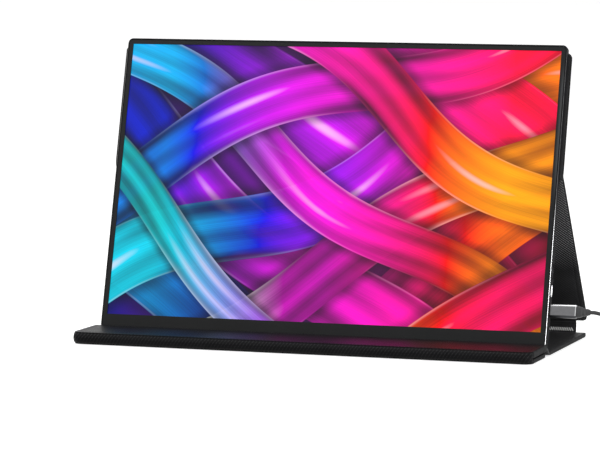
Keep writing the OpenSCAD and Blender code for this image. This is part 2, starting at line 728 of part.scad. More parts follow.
function path_length(p) = len(p) < 2 ? 0 : [for (i = 1, s = norm(p[1] - p[0]); i < len(p);
    i = i + 1, s = i < len(p) ? s + norm(p[i] - p[i - 1]) : s) s][len(p) - 2];
function self_gap(p, skip) = min([for (i = [0:len(p) - 1 - skip]) min([for (j = [i + skip:len(p) - 1])
    norm(p[i] - p[j])])]) - cord_d;
lead_path = smooth(lead_points, 3);
tail_path = smooth(tail_points, 3);
echo(coil_least_gap=self_gap(coil_points, 8));
echo(lead=path_length(lead_path), coil=path_length(coil_points), tail=path_length(tail_path));

module cable_lead() { color("#232325") tube(lead_path, cord_r, 8); }
module cable_coil() { color("#232325") tube(coil_points, cord_r, 6); }
module cable_tail() { color("#232325") tube(tail_path, cord_r, 8); }

// The far plug lies flat on the table at the tail's end, pointing back
module at_far() {
    translate(tail_points[len(tail_points) - 1]) rotate([-90, 0, 0]) children();
}
module far_relief() {
    color("#1c1c1e") at_far() translate([0, 0, relief_l]) mirror([0, 0, 1]) relief_form();
}
module far_boot() { color("#4a4b4e") at_far() translate([0, 0, relief_l]) boot_form(); }
module far_tongue() {
    color("silver") at_far() translate([0, 0, relief_l + boot_l + tongue_l]) mirror([0, 0, 1])
        tongue_form(tongue_l);
}

base_leather();
base_board();
base_lining();
step_fold();
front_leather();
front_board();
front_lining();
front_magnets();
front_fold();
flap_leather();
flap_board();
flap_lining();
flap_magnets();
base_fold();
spine_leather();
spine_board();
spine_lining();
leg_fold();
leg_leather();
leg_board();
leg_lining();
upper_fold();
upper_leather();
upper_board();
upper_lining();
upper_magnets();
rear_shell();
screen_border();
display_cell();
light_guide();
steel_plate();
display_ribbon();
main_board();
board_screws();
port_lower();
port_upper();
video_port();
jack();
speakers();
button_board();
power_button();
rocker();
rocker_pin();
plug_tongue();
plug_boot();
plug_relief();
cable_lead();
cable_coil();
cable_tail();
far_relief();
far_boot();
far_tongue();
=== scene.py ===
"""Looks of the portable monitor with its folding cover: leather, lit screen, metal, plug and cable."""

import json
import math

import bpy
import bmesh
from mathutils import Matrix, Quaternion, Vector


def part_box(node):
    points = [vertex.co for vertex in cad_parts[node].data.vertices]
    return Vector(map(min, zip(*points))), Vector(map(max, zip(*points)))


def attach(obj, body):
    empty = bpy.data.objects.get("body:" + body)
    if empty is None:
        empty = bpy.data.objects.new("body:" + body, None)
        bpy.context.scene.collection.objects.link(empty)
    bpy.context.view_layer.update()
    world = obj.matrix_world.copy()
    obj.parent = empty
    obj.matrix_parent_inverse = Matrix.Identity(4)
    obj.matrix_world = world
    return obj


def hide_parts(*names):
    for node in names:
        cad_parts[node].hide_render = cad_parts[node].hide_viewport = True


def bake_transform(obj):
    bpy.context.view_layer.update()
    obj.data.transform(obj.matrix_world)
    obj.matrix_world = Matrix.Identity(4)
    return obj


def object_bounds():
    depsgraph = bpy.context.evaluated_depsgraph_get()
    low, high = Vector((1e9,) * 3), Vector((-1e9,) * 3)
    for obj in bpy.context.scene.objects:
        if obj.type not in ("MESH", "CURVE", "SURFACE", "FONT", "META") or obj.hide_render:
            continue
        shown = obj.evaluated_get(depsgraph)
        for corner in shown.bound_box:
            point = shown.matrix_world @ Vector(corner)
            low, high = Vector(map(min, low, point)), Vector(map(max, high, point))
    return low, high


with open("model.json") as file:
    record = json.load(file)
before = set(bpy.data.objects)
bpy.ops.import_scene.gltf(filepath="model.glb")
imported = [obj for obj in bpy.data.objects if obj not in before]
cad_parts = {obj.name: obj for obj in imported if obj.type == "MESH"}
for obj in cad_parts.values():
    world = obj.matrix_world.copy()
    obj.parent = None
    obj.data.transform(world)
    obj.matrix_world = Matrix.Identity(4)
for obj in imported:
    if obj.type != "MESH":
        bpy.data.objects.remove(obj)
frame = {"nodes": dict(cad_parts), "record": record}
cad_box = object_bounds()

MM = 0.001

# Sizes that the pieces here share with the solids, in metres
PANEL_T = 3.6 * MM
FLAP_T = 3.4 * MM
FLAP_REACH = 3.4 * MM
FRONT_PAD = 1.6 * MM
SPINE_T = 3.0 * MM
HEM_W = 4.0 * MM
FOLD_GAP = 1.5 * MM
STEP_T = 2.4 * MM
CORNER_R = 4.0 * MM
FRONT_CORNER_R = 7.5 * MM
SQUARE_R = 0.8 * MM
SLIM_T = 4.5 * MM
UPPER_FOLD_H = 131.5 * MM
LEAN = math.radians(15.4)
CHIN_H = 12.0 * MM
ACTIVE_W = 344.7 * MM
ACTIVE_H = 215.4 * MM
PORT_DEPTH = 6.75 * MM
PORT_LOWER_H = 29.5 * MM
PORT_UPPER_H = 44.5 * MM
SIDE_X = 177.0 * MM

joints = {j["name"]: j for j in frame["record"]["behaviour"]["joints"]}


def pivot(name):
    """A fold line's place in the side plane, as (y, z)."""
    spot = joints[name]["pos_m"]
    return Vector((spot[1], spot[2]))


def along(angle):
    return Vector((math.cos(angle), math.sin(angle)))


def at_side(spot, angle):
    """Local x, along and up axes placed at a (y, z) point and turned about X."""
    return Matrix.Translation((0, spot[0], spot[1])) @ Matrix.Rotation(angle, 4, "X")


STEP_LOW = pivot("step_lower")
STEP_TOP = pivot("front_level")
BASE_PIVOT = pivot("spine_fold")
LEG_PIVOT = pivot("leg_fold_turn")
UPPER_PIVOT = pivot("screen_recline")
UPRIGHT = math.pi / 2 - LEAN
SPINE_ANGLE = math.atan2(LEG_PIVOT[1] - BASE_PIVOT[1], LEG_PIVOT[0] - BASE_PIVOT[0])
LEG_ANGLE = math.atan2(UPPER_PIVOT[1] - LEG_PIVOT[1], UPPER_PIVOT[0] - LEG_PIVOT[0])
FOOT = UPPER_PIVOT - UPPER_FOLD_H * along(UPRIGHT) - (SLIM_T + PANEL_T / 2) * along(-LEAN)
MONITOR = at_side(FOOT, -LEAN)
RISE = (0, math.sin(LEAN), math.cos(LEAN))
INTO = (0, math.cos(LEAN), -math.sin(LEAN))


# Camera

CAMERA_AZIMUTH = math.radians(17.5)
CAMERA_ELEVATION = math.radians(4.94)
CAMERA_ROLL = math.radians(0.4)
CAMERA_DISTANCE = 2.4733
CAMERA_TARGET = Vector((-0.01482, FOOT[0], 0.09174))
FOCAL_PX = 3260
IMAGE_W = 600


def add_camera():
    data = bpy.data.cameras.new("camera")
    camera = bpy.data.objects.new("camera", data)
    bpy.context.scene.collection.objects.link(camera)
    back = Vector((
        math.sin(CAMERA_AZIMUTH) * math.cos(CAMERA_ELEVATION),
        -math.cos(CAMERA_AZIMUTH) * math.cos(CAMERA_ELEVATION),
        math.sin(CAMERA_ELEVATION),
    ))
    camera.location = CAMERA_TARGET + CAMERA_DISTANCE * back
    turn = back.to_track_quat("Z", "Y") @ Quaternion((0, 0, 1), CAMERA_ROLL)
    camera.rotation_euler = turn.to_euler()
    data.sensor_width = 36
    data.lens = FOCAL_PX * data.sensor_width / IMAGE_W
    data.clip_start = 0.05
    data.clip_end = 60
    bpy.context.scene.camera = camera


# Shader helpers

class Nodes:
    """A small helper that adds and links shader nodes in one material or world."""

    def __init__(self, tree):
        self.tree = tree
        tree.nodes.clear()

    def add(self, kind, **settings):
        node = self.tree.nodes.new(kind)
        for key, value in settings.items():
            setattr(node, key, value)
        return node

    def link(self, source, target):
        self.tree.links.new(source, target)

    def feed(self, socket, value):
        """Links an output to the socket, or sets a plain value on it."""
        if isinstance(value, bpy.types.NodeSocket):
            self.link(value, socket)
        else:
            socket.default_value = value

    def math(self, operation, a, b=0.0, c=0.0, clamp=False):
        node = self.add("ShaderNodeMath", operation=operation, use_clamp=clamp)
        for socket, value in zip(node.inputs, (a, b, c)):
            self.feed(socket, value)
        return node.outputs[0]

    def dot(self, vector, direction):
        node = self.add("ShaderNodeVectorMath", operation="DOT_PRODUCT")
        self.feed(node.inputs[0], vector)
        node.inputs[1].default_value = direction
        return node.outputs["Value"]

    def step(self, value, low, high, from_value=0.0, to_value=1.0):
        """A smooth step between two limits."""
        node = self.add("ShaderNodeMapRange", interpolation_type="SMOOTHSTEP")
        inputs = {"Value": value, "From Min": low, "From Max": high, "To Min": from_value, "To Max": to_value}
        for key, given in inputs.items():
            self.feed(node.inputs[key], given)
        return node.outputs["Result"]

    def mix(self, factor, a, b, blend="MIX"):
        node = self.add("ShaderNodeMix", data_type="RGBA", blend_type=blend)
        self.feed(node.inputs["Factor"], factor)
        self.feed(node.inputs[6], a)
        self.feed(node.inputs[7], b)
        return node.outputs[2]

    def gray(self, value):
        node = self.add("ShaderNodeCombineColor")
        for socket in node.inputs[:3]:
            self.feed(socket, value)
        return node.outputs[0]

    def ramp(self, factor, stops):
        """Colours between stops, each given as (factor, colour)."""
        node = self.add("ShaderNodeValToRGB")
        elements = node.color_ramp.elements
        while len(elements) > 1:
            elements.remove(elements[-1])
        elements[0].position, elements[0].color = stops[0][0], (*stops[0][1], 1)
        for place, colour in stops[1:]:
            elements.new(place).color = (*colour, 1)
        self.feed(node.inputs["Fac"], factor)
        return node.outputs["Color"]

    def blotches(self, noise, dark, light):
        """Two tones, mixed by the middle range of a noise."""
        return self.ramp(noise, [(0.3, dark), (0.7, light)])

    def noise(self, vector, size, detail, stretch=(1, 1, 1)):
        """Noise whose blotches are about size metres across."""
        scaled = self.add("ShaderNodeVectorMath", operation="MULTIPLY")
        self.feed(scaled.inputs[0], vector)
        scaled.inputs[1].default_value = [s / size for s in stretch]
        node = self.add("ShaderNodeTexNoise")
        self.link(scaled.outputs[0], node.inputs["Vector"])
        node.inputs["Scale"].default_value = 1
        node.inputs["Detail"].default_value = detail
        return node.outputs["Fac"]

    def cells(self, vector, size):
        """The distance to the nearest of points that lie about size metres apart."""
        scaled = self.add("ShaderNodeVectorMath", operation="SCALE")
        self.feed(scaled.inputs[0], vector)
        scaled.inputs["Scale"].default_value = 1 / size
        node = self.add("ShaderNodeTexVoronoi")
        self.link(scaled.outputs[0], node.inputs["Vector"])
        node.inputs["Scale"].default_value = 1
        return node.outputs["Distance"]

    def bump(self, height, depth, strength, normal=None):
        """A bumped normal, laid over another where one is given."""
        node = self.add("ShaderNodeBump")
        node.inputs["Strength"].default_value = strength
        node.inputs["Distance"].default_value = depth
        self.feed(node.inputs["Height"], height)
        if normal is not None:
            self.link(normal, node.inputs["Normal"])
        return node.outputs["Normal"]


def material(name):
    """A new material with a principled shader, as (material, nodes, shader)."""
    made = bpy.data.materials.new(name)
    made.use_nodes = True
    nodes = Nodes(made.node_tree)
    shader = nodes.add("ShaderNodeBsdfPrincipled")
    output = nodes.add("ShaderNodeOutputMaterial")
    nodes.link(shader.outputs[0], output.inputs["Surface"])
    return made, nodes, shader


def object_place(nodes):
    return nodes.add("ShaderNodeTexCoord").outputs["Object"]


def cover_place(nodes):
    """The place on the unfolded cover, which stays when the cover bends."""
    return nodes.add("ShaderNodeAttribute", attribute_name="place").outputs["Vector"]


def shade(colour, factor):
    return tuple(min(1, c * factor) for c in colour)


def from_foot(nodes, place, direction, offset=0.0):
    """How far a point lies from the monitor's foot along a direction of the side plane, less an offset."""
    start = FOOT[0] * direction[1] + FOOT[1] * direction[2] + offset
    return nodes.math("SUBTRACT", nodes.dot(place, direction), start)


# Materials

# How strongly the painted highlight along the pressed strokes shows, as (metres along the unfolded cover,
# strength): a band of painted highlight on the leg, and painted glints on the nose
LEG_STROKE_HIGHLIGHT = [(0.455, 0.03), (0.485, 1.0), (0.546, 1.0), (0.552, 0.03)]
NOSE_STROKE_GLINTS = [(0.0835, 0.5), (0.0865, 0.04)]
STROKE_SPACING = 1.9 * MM
STROKE_RUNS = ((0.707, 0.707, 0.4), (0.707, -0.707, 0.4))


def leather(name, colour, stroke_highlight_colour, roughness, shine, highlight_strengths):
    """Pressed leatherette: diagonal strokes over a fine grain, broken where the other diagonal crosses. The
    strokes' lighter colour is a painted highlight along their ridges.
    """
    made, nodes, shader = material(name)
    place = cover_place(nodes)
    wander = nodes.noise(place, 9 * MM, 2)
    bend = nodes.math("MULTIPLY", nodes.math("SUBTRACT", wander, 0.5), 0.6 * MM)
    waves = []
    for direction in STROKE_RUNS:
        run = nodes.math("ADD", nodes.dot(place, direction), bend)
        waves.append(nodes.math("PINGPONG", nodes.math("DIVIDE", run, STROKE_SPACING), 0.5))
    long_strokes = nodes.step(waves[0], 0.0, 0.24, 1.0, 0.0)
    strokes = nodes.math("MULTIPLY", long_strokes, nodes.step(waves[1], 0.05, 0.16))
    grain = nodes.cells(place, 0.42 * MM)
    fine = nodes.noise(place, 0.2 * MM, 3)
    normal = nodes.bump(grain, 0.05 * MM, 0.6)
    normal = nodes.bump(fine, 0.04 * MM, 0.5, normal)
    normal = nodes.bump(strokes, 0.1 * MM, 1.0, normal)
    nodes.link(normal, shader.inputs["Normal"])
    worn = nodes.noise(place, 28 * MM, 4)
    tone = nodes.blotches(worn, shade(colour, 0.75), shade(colour, 1.3))
    # Painted highlight: the strokes are coloured lighter, as strongly as the place along the cover gives
    highlight_strength = nodes.ramp(nodes.dot(place, (0, 1, 0)), [(at, (value,) * 3) for at, value in highlight_strengths])
    painted_highlight = nodes.math("MULTIPLY", strokes, highlight_strength)
    nodes.link(nodes.mix(painted_highlight, tone, (*stroke_highlight_colour, 1)), shader.inputs["Base Color"])
    rough = nodes.math("MULTIPLY_ADD", worn, 0.14, roughness - 0.07)
    nodes.link(rough, shader.inputs["Roughness"])
    shader.inputs["Specular IOR Level"].default_value = shine
    return made


def stitch_thread():
    """Waxed thread, light grey as a painted highlight along the spine's fold, with the twist of its two
    strands and painted shade between them.
    """
    made, nodes, shader = material("stitch_thread")
    place = cover_place(nodes)
    run = nodes.dot(place, (0.9, 0.4, 0.2))
    twist = nodes.math("PINGPONG", nodes.math("DIVIDE", run, 0.35 * MM), 0.5)
    # Painted light: darker between the strands as painted shade, light grey on them as a painted highlight
    tone = nodes.ramp(twist, [(0.0, (0.45, 0.45, 0.45)), (0.5, (0.9, 0.9, 0.9))])
    nodes.link(tone, shader.inputs["Base Color"])
    nodes.link(nodes.bump(twist, 0.05 * MM, 0.8), shader.inputs["Normal"])
    shader.inputs["Roughness"].default_value = 0.4
    return made


def speckled(name, colour, roughness, size, depth, vary, metallic=0.0, stretch=(1, 1, 1)):
    """A finish with slight colour change and a fine surface, on object coordinates."""
    made, nodes, shader = material(name)
    place = object_place(nodes)
    fine = nodes.noise(place, size, 3, stretch)
    broad = nodes.noise(place, 30 * size, 2, stretch)
    dark, light = shade(colour, 1 - vary), shade(colour, 1 + vary)
    speckle = nodes.ramp(fine, [(0.35, dark), (0.65, light)])
    tone = nodes.mix(0.3, nodes.blotches(broad, dark, light), speckle)
    nodes.link(tone, shader.inputs["Base Color"])
    nodes.link(nodes.bump(fine, depth, 0.5), shader.inputs["Normal"])
    rough = nodes.math("ADD", nodes.math("MULTIPLY", fine, 0.16), roughness - 0.08)
    nodes.link(rough, shader.inputs["Roughness"])
    shader.inputs["Metallic"].default_value = metallic
    return made


def shell_metal():
    """Dark shell whose cut front edge is bare metal at the sides.
    The bare edge's colour is painted light: a painted highlight low on the right, painted shade above that,
    and a weaker painted highlight on the left."""
    made, nodes, shader = material("shell_metal")
    place = object_place(nodes)
    depth = from_foot(nodes, place, INTO)
    height = from_foot(nodes, place, RISE)
    across = nodes.dot(place, (1, 0, 0))
    cut_front = nodes.step(depth, 0.36 * MM, 0.42 * MM)
    cut_back = nodes.step(depth, 0.62 * MM, 0.68 * MM, 1, 0)
    cut = nodes.math("MULTIPLY", cut_front, cut_back)
    at_side_edge = nodes.step(nodes.math("ABSOLUTE", across), SIDE_X - 1.3 * MM, SIDE_X - 1.0 * MM)
    bare = nodes.math("MULTIPLY", cut, at_side_edge)
    fine = nodes.noise(place, 0.12 * MM, 2)
    broad = nodes.noise(place, 22 * MM, 3)
    dark = nodes.blotches(broad, (0.008, 0.008, 0.009), (0.012, 0.012, 0.013))
    brushed = nodes.noise(place, 0.5 * MM, 2, (1, 1, 0.02))
    # Painted highlight and shade on the bare edge: lighter low on the right than above it, and a weaker
    # painted highlight on the left
    bright = nodes.blotches(brushed, (0.72, 0.72, 0.73), (0.9, 0.9, 0.91))
    painted_shade_edge = nodes.blotches(brushed, (0.055, 0.055, 0.056), (0.08, 0.08, 0.082))
    left_painted_highlight = nodes.blotches(brushed, (0.27, 0.26, 0.24), (0.33, 0.32, 0.30))
    right = nodes.mix(nodes.step(height, 78 * MM, 118 * MM), bright, painted_shade_edge)
    metal = nodes.mix(nodes.step(across, -MM, MM), left_painted_highlight, right)
    nodes.link(nodes.mix(bare, dark, metal), shader.inputs["Base Color"])
    rough = nodes.step(bare, 0, 1, 0.55, 0.2)
    nodes.link(nodes.math("MULTIPLY_ADD", fine, 0.08, rough), shader.inputs["Roughness"])
    nodes.link(nodes.bump(fine, 0.012 * MM, 0.5), shader.inputs["Normal"])
    nodes.link(bare, shader.inputs["Metallic"])
    shader.inputs["Specular IOR Level"].default_value = 0.01
    return made


def border_black():
    """Smooth black border, with a soft painted highlight high on its right edge."""
    made, nodes, shader = material("border_black")
    place = object_place(nodes)
    fine = nodes.noise(place, 0.15 * MM, 2)
    broad = nodes.noise(place, 24 * MM, 3)
    black = nodes.blotches(broad, (0.0062, 0.0064, 0.0066), (0.0086, 0.0090, 0.0094))
    # Painted highlight: the colour turns lighter grey near the right edge, between two heights
    edge = nodes.step(nodes.dot(place, (1, 0, 0)), SIDE_X - 4.0 * MM, SIDE_X - 1.2 * MM)
    height = nodes.dot(place, (0, 0, 1))
    sheen_foot = nodes.step(height, 105 * MM, 150 * MM)
    sheen_top = nodes.step(height, 195 * MM, 222 * MM, 1, 0)
    painted_sheen = nodes.math("MULTIPLY", edge, nodes.math("MULTIPLY", sheen_foot, sheen_top))
    nodes.link(nodes.mix(painted_sheen, black, (0.06, 0.062, 0.064, 1)), shader.inputs["Base Color"])
    nodes.link(nodes.math("MULTIPLY_ADD", fine, 0.12, 0.38), shader.inputs["Roughness"])
    nodes.link(nodes.bump(fine, 0.012 * MM, 0.5), shader.inputs["Normal"])
    shader.inputs["Specular IOR Level"].default_value = 0.16
    return made


# The lit picture is a weave of silk ribbons. Each row gives a ribbon's direction in degrees, its place
# across that direction and half width (both in picture heights), its wave (height, waves for each picture
# height, phase), how solid it is, and its colours at the left, middle and right of the picture.
PICTURE_RIBBONS = [
    (-38, 0.98, 0.16, 0.05, 0.55, 0.3, 0.95, (0.012, 0.03, 0.42), (0.42, 0.02, 0.62), (0.72, 0.01, 0.10)),
    (-34, 0.20, 0.15, 0.05, 0.50, 1.4, 0.95, (0.02, 0.22, 0.50), (0.22, 0.01, 0.55), (0.80, 0.02, 0.05)),
    (34, -0.52, 0.13, 0.06, 0.60, 2.2, 0.90, (0.02, 0.10, 0.60), (0.60, 0.02, 0.50), (0.95, 0.16, 0.02)),
    (-36, 0.58, 0.13, 0.06, 0.60, 4.0, 0.95, (0.01, 0.02, 0.50), (0.75, 0.02, 0.55), (0.98, 0.03, 0.12)),
    (26, 0.10, 0.12, 0.07, 0.70, 0.8, 0.85, (0.03, 0.50, 0.62), (0.28, 0.02, 0.75), (1.00, 0.22, 0.04)),
    (-40, 1.42, 0.17, 0.06, 0.55, 5.2, 0.95, (0.02, 0.05, 0.55), (0.65, 0.03, 0.60), (1.00, 0.04, 0.09)),
    (30, -0.24, 0.10, 0.05, 0.65, 3.1, 0.85, (0.10, 0.55, 0.28), (0.55, 0.01, 0.42), (0.98, 0.34, 0.05)),
    (-32, 0.82, 0.09, 0.05, 0.75, 2.6, 0.80, (0.04, 0.42, 0.75), (0.90, 0.10, 0.62), (1.00, 0.30, 0.06)),
    (22, 0.46, 0.10, 0.08, 0.60, 5.0, 0.85, (0.02, 0.20, 0.70), (0.80, 0.02, 0.60), (0.98, 0.05, 0.10)),
    (-30, 1.20, 0.10, 0.07, 0.70, 1.0, 0.85, (0.02, 0.30, 0.70), (0.95, 0.05, 0.40), (1.00, 0.40, 0.08)),
    (38, -0.86, 0.12, 0.05, 0.60, 4.4, 0.90, (0.05, 0.30, 0.30), (0.45, 0.30, 0.04), (0.85, 0.01, 0.12)),
    (-42, 0.38, 0.07, 0.04, 0.70, 3.5, 0.75, (0.12, 0.60, 0.62), (0.60, 0.10, 0.80), (1.00, 0.30, 0.20)),
]
PICTURE_GROUND = [(0.0, (0.008, 0.008, 0.16)), (0.45, (0.16, 0.004, 0.26)), (1.0, (0.42, 0.0, 0.035))]
PICTURE_ASPECT = 1.6
LIGHT_GAIN = 1.55
SHINE_COLOUR = (1.0, 0.74, 0.8, 1)
RIM_COLOUR = (1, 0.9, 0.95, 1)
RIM_FADE = 0.007


def picture_ribbon(nodes, across, up, ground, ribbon):
    """Lays one ribbon over the picture so far: its shadow, rounded shine, threads and bright rims."""
    angle, offset, half, height, waves, phase, solid, left, middle, right = ribbon
    cos, sin = math.cos(math.radians(angle)), math.sin(math.radians(angle))
    along_it = nodes.math("ADD", nodes.math("MULTIPLY", across, cos), nodes.math("MULTIPLY", up, sin))
    over_it = nodes.math("ADD", nodes.math("MULTIPLY", across, -sin), nodes.math("MULTIPLY", up, cos))
    wave = nodes.math("SINE", nodes.math("MULTIPLY_ADD", along_it, waves * 2 * math.pi, phase))
    middle_line = nodes.math("MULTIPLY_ADD", wave, height, offset)
    side = nodes.math("DIVIDE", nodes.math("SUBTRACT", over_it, middle_line), half)
    reach = nodes.math("ABSOLUTE", side)
    shadow = nodes.step(reach, 1.0, 1.45, 0.42, 1.0)
    dimmed = nodes.mix(1.0, ground, nodes.gray(shadow), "MULTIPLY")
    across_share = nodes.math("DIVIDE", across, PICTURE_ASPECT)
    tone = nodes.ramp(across_share, [(0.10, left), (0.5, middle), (0.90, right)])
    round_light = nodes.math("SUBTRACT", 1.0, nodes.math("MULTIPLY", side, side))
    slow = nodes.math("SINE", nodes.math("MULTIPLY_ADD", along_it, 5.2 + 2 * waves, phase * 1.9))
    drift = nodes.math("MULTIPLY_ADD", slow, 1.3, phase)
    folds = nodes.math("SINE", nodes.math("MULTIPLY_ADD", side, 7.5, drift))
    silk = nodes.add("ShaderNodeCombineXYZ")
    nodes.feed(silk.inputs[0], nodes.math("MULTIPLY", along_it, 2.2))
    nodes.feed(silk.inputs[1], nodes.math("MULTIPLY", side, 34 * half / 0.12))
    silk.inputs[2].default_value = phase * 3
    threads = nodes.add("ShaderNodeTexNoise")
    nodes.link(silk.outputs[0], threads.inputs["Vector"])
    threads.inputs["Scale"].default_value = 1
    light = nodes.math("MULTIPLY_ADD", round_light, 0.42, 0.20)
    light = nodes.math("ADD", light, nodes.math("MULTIPLY", folds, 0.16))
    light = nodes.math("ADD", light, nodes.math("MULTIPLY", slow, 0.17))
    light = nodes.math("MULTIPLY", nodes.math("MAXIMUM", light, 0.04), LIGHT_GAIN)
    light = nodes.math("MULTIPLY", light, nodes.math("MULTIPLY_ADD", threads.outputs["Fac"], 0.7, 0.65))
    body = nodes.mix(1.0, tone, nodes.gray(light), "MULTIPLY")
    slow_share, fold_share = (nodes.math("MULTIPLY_ADD", sine, 0.5, 0.5) for sine in (slow, folds))
    shine = nodes.math("MULTIPLY", slow_share, fold_share)
    shine = nodes.math("POWER", nodes.math("MULTIPLY", shine, round_light, clamp=True), 3.0)
    body = nodes.mix(nodes.math("MULTIPLY", shine, 0.7), body, SHINE_COLOUR)
    from_rim = nodes.math("ABSOLUTE", nodes.math("SUBTRACT", reach, 0.97))
    rim = nodes.math("EXPONENT", nodes.math("MULTIPLY", from_rim, -half / RIM_FADE))
    rim = nodes.math("MULTIPLY", rim, nodes.math("MULTIPLY_ADD", slow, 0.3, 0.4))
    body = nodes.mix(rim, body, nodes.mix(0.45, tone, RIM_COLOUR))
    mask = nodes.math("MULTIPLY", nodes.step(reach, 0.99, 1.01, 1.0, 0.0), solid)
    return nodes.mix(mask, dimmed, body)


def lit_screen():
    """The lit picture under its pane: ribbons from deep blue through magenta to red and orange."""
    made, nodes, shader = material("lit_screen")
    place = object_place(nodes)
    across = nodes.math("DIVIDE", nodes.math("ADD", nodes.dot(place, (1, 0, 0)), ACTIVE_W / 2), ACTIVE_H)
    up = nodes.math("DIVIDE", from_foot(nodes, place, RISE, CHIN_H), ACTIVE_H)
    picture = nodes.ramp(nodes.math("DIVIDE", across, PICTURE_ASPECT), PICTURE_GROUND)
    for ribbon in PICTURE_RIBBONS:
        picture = picture_ribbon(nodes, across, up, picture, ribbon)
    vivid = nodes.add("ShaderNodeHueSaturation")
    vivid.inputs["Saturation"].default_value = 1.4
    vivid.inputs["Value"].default_value = 1.3
    nodes.link(picture, vivid.inputs["Color"])
    nodes.link(vivid.outputs[0], shader.inputs["Emission Color"])
    shader.inputs["Emission Strength"].default_value = 1.0
    shader.inputs["Base Color"].default_value = (0.004, 0.004, 0.005, 1)
    grain = nodes.noise(place, 0.3 * MM, 2)
    nodes.link(nodes.math("MULTIPLY_ADD", grain, 0.06, 0.3), shader.inputs["Roughness"])
    shader.inputs["Specular IOR Level"].default_value = 0.15
    return made


# Each leather's colour, its strokes' lighter colour (a painted highlight along their ridges), roughness,
# shine, and how strongly that painted highlight shows
LEATHERS = {
    "outer_leather": ((0.0058, 0.0058, 0.0062), (0.014, 0.014, 0.015), 0.5, 0.02, [(0, 1)]),
    "lining_leather": ((0.022, 0.022, 0.023), (0.34, 0.34, 0.35), 0.45, 0.08, LEG_STROKE_HIGHLIGHT),
    "front_leather": ((0.0070, 0.0070, 0.0076), (0.02, 0.02, 0.021), 0.34, 0.055, [(0, 0.6)]),
    "nose_leather": ((0.0042, 0.0042, 0.0046), (0.06, 0.06, 0.062), 0.42, 0.04, NOSE_STROKE_GLINTS),
}
# Each plain finish's colour, roughness, size and depth of its fine surface, change of colour, and where
# it has them, how metallic it is and how its surface is stretched
FINISHES = {
    "stiffener": ((0.34, 0.27, 0.17), 0.85, 1.2 * MM, 0.1 * MM, 0.2),
    "magnet": ((0.6, 0.6, 0.62), 0.25, 0.3 * MM, 0.01 * MM, 0.06, 1.0),
    "light_guide": ((0.8, 0.82, 0.84), 0.15, 1 * MM, 0.01 * MM, 0.03),
    "plate_steel": ((0.5, 0.51, 0.53), 0.35, 0.8 * MM, 0.01 * MM, 0.08, 1.0, (0.05, 1, 1)),
    "ribbon": ((0.42, 0.19, 0.05), 0.4, 0.8 * MM, 0.02 * MM, 0.1),
    "circuit_board": ((0.012, 0.09, 0.04), 0.4, 1.5 * MM, 0.05 * MM, 0.35),
    "screw": ((0.55, 0.55, 0.57), 0.3, 0.3 * MM, 0.01 * MM, 0.08, 1.0),
    "port_metal": ((0.72, 0.72, 0.74), 0.22, 0.4 * MM, 0.008 * MM, 0.05, 1.0),
    "jack_plastic": ((0.014, 0.014, 0.015), 0.45, 0.3 * MM, 0.02 * MM, 0.12),
    "speaker_plastic": ((0.02, 0.02, 0.021), 0.55, 0.5 * MM, 0.03 * MM, 0.15),
    # On the plug boots, key_metal is laid on the lower side as painted shade, and bright_rim on the upper
    # edge and rear band as a painted highlight
    "key_metal": ((0.05, 0.051, 0.054), 0.34, 0.12 * MM, 0.01 * MM, 0.1, 1.0),
    "boot_metal": ((0.16, 0.16, 0.165), 0.36, 0.1 * MM, 0.01 * MM, 0.08, 1.0),
    "bright_rim": ((0.62, 0.62, 0.63), 0.25, 0.2 * MM, 0.006 * MM, 0.05, 1.0),
    "cable_rubber": ((0.016, 0.016, 0.017), 0.55, 0.5 * MM, 0.03 * MM, 0.15),
}
MATERIALS = {
    **{name: leather(name, *row) for name, row in LEATHERS.items()},
    **{name: speckled(name, *row) for name, row in FINISHES.items()},
    "stitch_thread": stitch_thread(),
    "shell_metal": shell_metal(),
    "border_black": border_black(),
    "lit_screen": lit_screen(),
}

SLOT_OF_NODE = {row["node"]: row["material_slot"] for row in frame["record"]["subparts"]}


def dress_cad_nodes():
    """Every solid that stays in view gets the finish of its record slot."""
    for name, node in frame["nodes"].items():
        slot = SLOT_OF_NODE[name]
        if slot in MATERIALS:
            node.data.materials.clear()
            node.data.materials.append(MATERIALS[slot])


# Mesh helpers

def new_piece(name, vertices, faces, materials, face_materials=None, places=None, place=None, smooth=40):
    """A mesh object from points and faces. places are each point's place on the unfolded cover."""
    mesh = bpy.data.meshes.new(name)
    mesh.from_pydata([tuple(v) for v in vertices], [], faces)
    for made in materials:
        mesh.materials.append(MATERIALS[made])
    if face_materials:
        for face, index in zip(mesh.polygons, face_materials):
            face.material_index = index
    if places is not None:
        attribute = mesh.attributes.new("place", "FLOAT_VECTOR", "POINT")
        for row, value in zip(attribute.data, places):
            row.vector = value
    if place is not None:
        mesh.transform(place)
    made = bpy.data.objects.new(name, mesh)
    bpy.context.scene.collection.objects.link(made)
    shape = bmesh.new()
    shape.from_mesh(mesh)
    bmesh.ops.recalc_face_normals(shape, faces=shape.faces)
    shape.to_mesh(mesh)
    shape.free()
    mesh.shade_smooth()
    mesh.set_sharp_from_angle(angle=math.radians(smooth))
    return made


def loft(rings):
    """Faces between rings of equal length, and one face over each end, which come last."""
    vertices = [v for ring in rings for v in ring]
    count = len(rings[0])
    faces = []
    for r in range(len(rings) - 1):
        for k in range(count):
            a, b = r * count + k, r * count + (k + 1) % count
            faces.append((a, b, b + count, a + count))
    faces.append(tuple(range(count - 1, -1, -1)))
    faces.append(tuple(range(len(vertices) - count, len(vertices))))
    return vertices, faces


CORNER_STEPS = 8
SIDE_STOPS = [0.6 * MM, 1.4 * MM, 2.4 * MM, 3.4 * MM, 4.6 * MM, 7 * MM]
SHORT_SECTION = 30 * MM
BOARD_SPACES = 12


